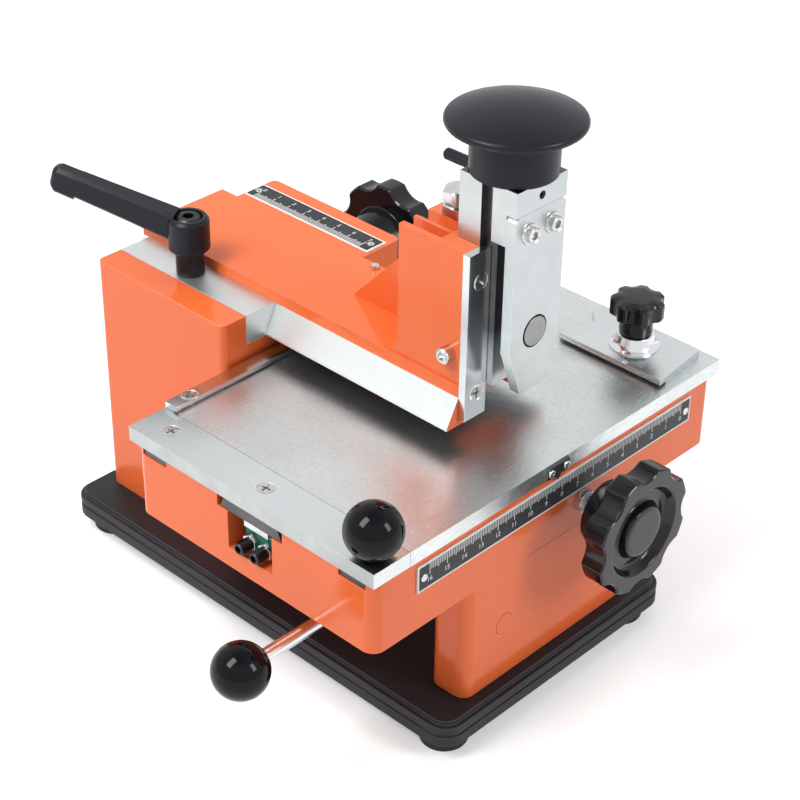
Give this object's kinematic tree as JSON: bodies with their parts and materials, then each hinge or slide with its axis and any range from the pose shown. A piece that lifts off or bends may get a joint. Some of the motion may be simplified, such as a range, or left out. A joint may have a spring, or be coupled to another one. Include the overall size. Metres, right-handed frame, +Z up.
{
  "type": "tag embossing machine",
  "caption": "Bench machine that presses characters into metal tags: a rack-driven cross table under a sliding arm with a sprung, palm-pressed ram.",
  "frame": {"origin": "middle of the base plate's underside", "axes": "+X along the front scale to the right, +Y from the front to the back, +Z up along the ram"},
  "size_m": [0.2646, 0.2809, 0.2655],
  "materials": {
    "base_black": "satin black",
    "rubber_black": "matt",
    "orange_paint": "gloss orange paint",
    "black_plastic": "moulded black",
    "ground_steel": "ground",
    "dark_steel": "blackened",
    "screw_steel": "zinc plated",
    "bright_chrome": "polished",
    "scale_plate": "satin",
    "green_paint": "gloss green paint",
    "bronze": "machined"
  },
  "bodies": {
    "frame": {"base_plate": "base_black", "rubber_feet": "rubber_black", "pedestal": "orange_paint", "leg_plug": "orange_paint", "bed": "orange_paint", "column": "orange_paint", "column_gib": "ground_steel", "lever_stud": "screw_steel", "front_ruler": "scale_plate", "top_ruler": "scale_plate", "ruler_screws": "screw_steel", "shaft_bush": "screw_steel", "arm_bush": "screw_steel", "feed_block": "green_paint", "block_screws": "dark_steel", "block_nuts": "screw_steel", "feed_pivot": "screw_steel"},
    "clamp_lever": {"clamp_lever": "black_plastic"},
    "table": {"table_plate": "ground_steel", "table_strip": "ground_steel", "table_rail": "dark_steel", "table_runners": "dark_steel", "table_rack": "screw_steel", "fence_bar": "ground_steel", "table_screws": "screw_steel", "table_ball": "black_plastic", "ball_stud": "screw_steel", "pointer": "ground_steel", "pointer_screws": "screw_steel", "knob_stud": "screw_steel"},
    "table_clamp": {"clamp_plate": "ground_steel", "cup_washer": "bright_chrome"},
    "table_knob": {"clamp_knob": "black_plastic"},
    "table_drive": {"handwheel": "black_plastic", "wheel_shaft": "ground_steel", "table_pinion": "bronze"},
    "arm": {"arm_head": "orange_paint", "arm_rack": "screw_steel", "guide_strips": "ground_steel", "strip_screws": "screw_steel", "index_screw": "dark_steel", "stop_bolt": "screw_steel", "stop_nut": "screw_steel", "cross_screw": "screw_steel", "cross_nut": "screw_steel", "ram_spring": "screw_steel"},
    "arm_drive": {"rear_wheel": "black_plastic", "arm_shaft": "ground_steel", "arm_pinion": "bronze"},
    "ram": {"ram": "ground_steel", "front_plate": "ground_steel", "plate_screws": "screw_steel", "disc_magnet": "ground_steel", "palm_knob": "black_plastic", "ram_set_screw": "dark_steel", "stop_peg": "dark_steel"},
    "feed_lever": {"feed_lever": "ground_steel", "lever_ball": "black_plastic"}
  },
  "joints": [
    {"name": "table_slide", "type": "slide", "parent": "frame", "child": "table", "axis": [1, 0, 0], "range_m": [-0.044, 0.08]},
    {"name": "handwheel_spin", "type": "hinge", "parent": "frame", "child": "table_drive", "pos_m": [0.015, -0.115, 0.0817], "axis": [0, 1, 0], "range_deg": [-316, 574]},
    {"name": "arm_slide", "type": "slide", "parent": "frame", "child": "arm", "axis": [0, 1, 0], "range_m": [0, 0.09]},
    {"name": "rear_wheel_spin", "type": "hinge", "parent": "frame", "child": "arm_drive", "pos_m": [0.055, 0.0606, 0.114], "axis": [1, 0, 0], "range_deg": [-646, 1]},
    {"name": "ram_slide", "type": "slide", "parent": "arm", "child": "ram", "axis": [0, 0, 1], "range_m": [-0.0095, 0], "stiffness_N_per_m": 1500, "springref_m": 0.02, "deforming": ["ram_spring"]},
    {"name": "clamp_lever_turn", "type": "hinge", "parent": "frame", "child": "clamp_lever", "pos_m": [-0.03237, 0.0756, 0.1336], "axis": [0, 0, 1], "range_deg": [-20, 60]},
    {"name": "feed_lever_turn", "type": "hinge", "parent": "frame", "child": "feed_lever", "pos_m": [-0.0695, -0.077, 0.061], "axis": [0, 0, 1], "range_deg": [-12, 12]},
    {"name": "clamp_plate_turn", "type": "hinge", "parent": "table", "child": "table_clamp", "pos_m": [0.086, -0.0844, 0.11], "axis": [0, 0, 1], "range_deg": [-8, 8]},
    {"name": "clamp_knob_turn", "type": "hinge", "parent": "table", "child": "table_knob", "pos_m": [0.086, -0.0844, 0.1206], "axis": [0, 0, 1], "continuous": true}
  ],
  "couplings": [
    {"joint": "handwheel_spin", "follows": "table_slide", "rad_per_m": 125},
    {"joint": "rear_wheel_spin", "follows": "arm_slide", "rad_per_m": -125}
  ]
}
